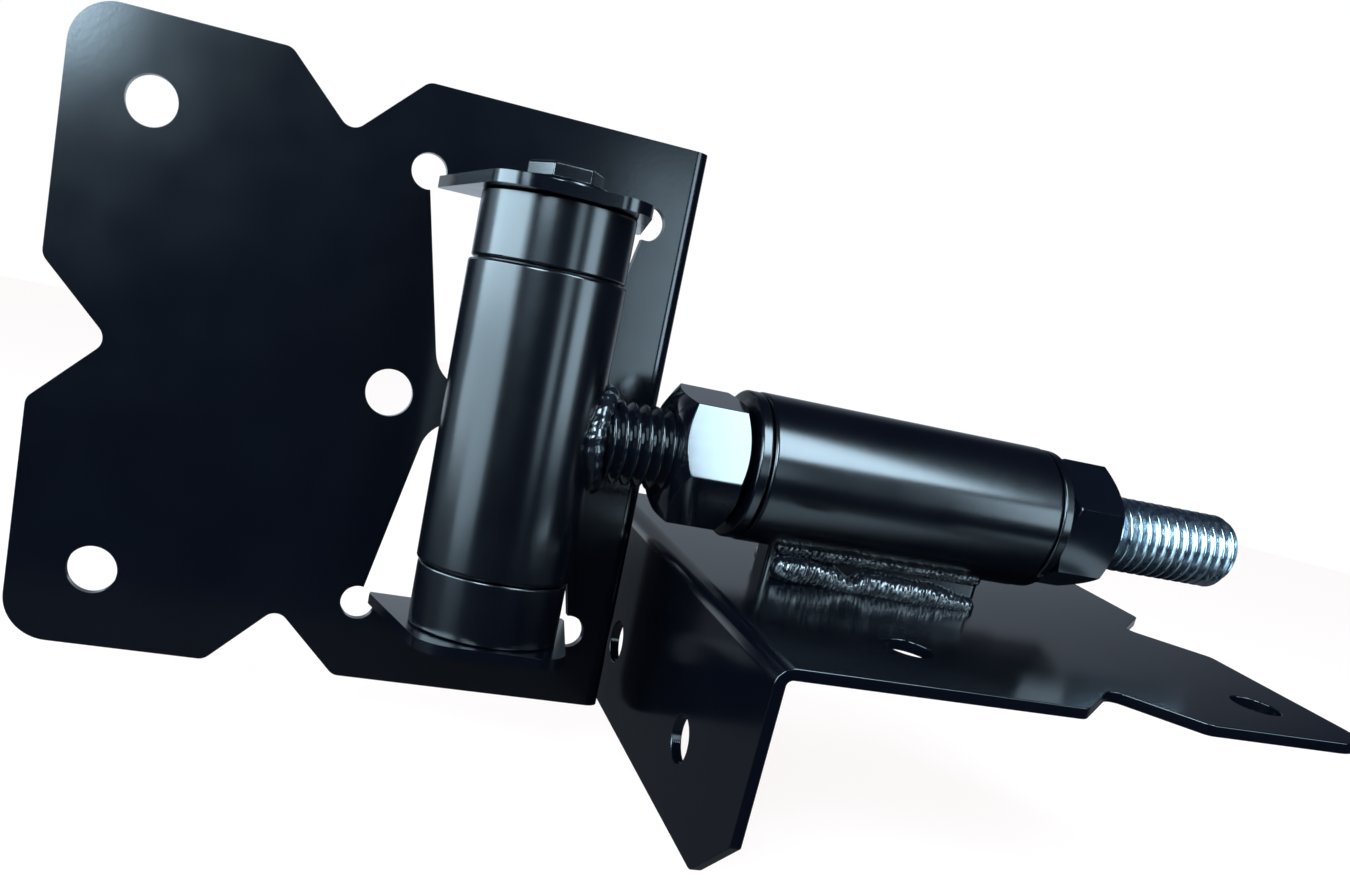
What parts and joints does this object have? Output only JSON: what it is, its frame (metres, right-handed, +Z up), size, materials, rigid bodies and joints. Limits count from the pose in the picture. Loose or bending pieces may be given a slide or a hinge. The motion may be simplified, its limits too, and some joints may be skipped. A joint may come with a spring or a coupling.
{
  "type": "adjustable gate hinge",
  "caption": "Adjustable gate hinge: a bolt-on post leaf with a barrel on a pin, and a threaded stud whose nuts set and clamp the sleeve of a bolt-on gate leaf.",
  "frame": {"origin": "centre of the post leaf's middle bolt hole, on the leaf's back face", "axes": "+X along the stud towards the gate, +Y into the post, +Z up along the pivot pin"},
  "size_m": [0.2677, 0.1296, 0.1374],
  "materials": {
    "powder_coat": "satin black powder coat",
    "gloss_coat": "glossy black paint",
    "weld_metal": "glossy black paint over a rippled weld bead",
    "zinc_plate": "bright zinc plate, painted black near the barrel",
    "bush_plastic": "black nylon"
  },
  "bodies": {
    "post_side": {"post_leaf": "powder_coat", "pivot_pin": "powder_coat", "upper_collar": "powder_coat", "lower_collar": "powder_coat"},
    "stud_arm": {"pivot_barrel": "powder_coat", "upper_bush": "bush_plastic", "lower_bush": "bush_plastic", "threaded_stud": "zinc_plate", "stud_weld": "weld_metal"},
    "carriage": {"inner_sleeve_bush": "bush_plastic", "outer_sleeve_bush": "bush_plastic"},
    "inner_nut": {"inner_nut": "gloss_coat"},
    "outer_nut": {"outer_nut": "gloss_coat"},
    "gate_side": {"adjuster_sleeve": "powder_coat", "sleeve_saddle": "powder_coat", "front_leaf_bead": "weld_metal", "rear_leaf_bead": "weld_metal", "front_sleeve_bead": "weld_metal", "rear_sleeve_bead": "weld_metal", "gate_leaf": "powder_coat"}
  },
  "joints": [
    {"name": "gate_swing", "type": "hinge", "parent": "post_side", "child": "stud_arm", "pos_m": [0.0248, -0.0246, 0], "axis": [0, 0, -1], "range_deg": [0, 115]},
    {"name": "width_adjust", "type": "slide", "parent": "stud_arm", "child": "carriage", "axis": [1, 0, 0], "range_m": [-0.003, 0.03]},
    {"name": "inner_nut_turn", "type": "hinge", "parent": "carriage", "child": "inner_nut", "pos_m": [0.0648, -0.0246, 0], "axis": [1, 0, 0], "range_deg": [-419.11, 4186.55]},
    {"name": "outer_nut_turn", "type": "hinge", "parent": "carriage", "child": "outer_nut", "pos_m": [0.1528, -0.0246, 0], "axis": [1, 0, 0], "range_deg": [-419.11, 4186.55]},
    {"name": "leaf_swivel", "type": "hinge", "parent": "carriage", "child": "gate_side", "pos_m": [0.064, -0.0246, 0], "axis": [1, 0, 0], "continuous": true}
  ],
  "couplings": [
    {"joint": "inner_nut_turn", "follows": "width_adjust", "rad_per_m": 2435.3},
    {"joint": "outer_nut_turn", "follows": "width_adjust", "rad_per_m": 2435.3}
  ]
}
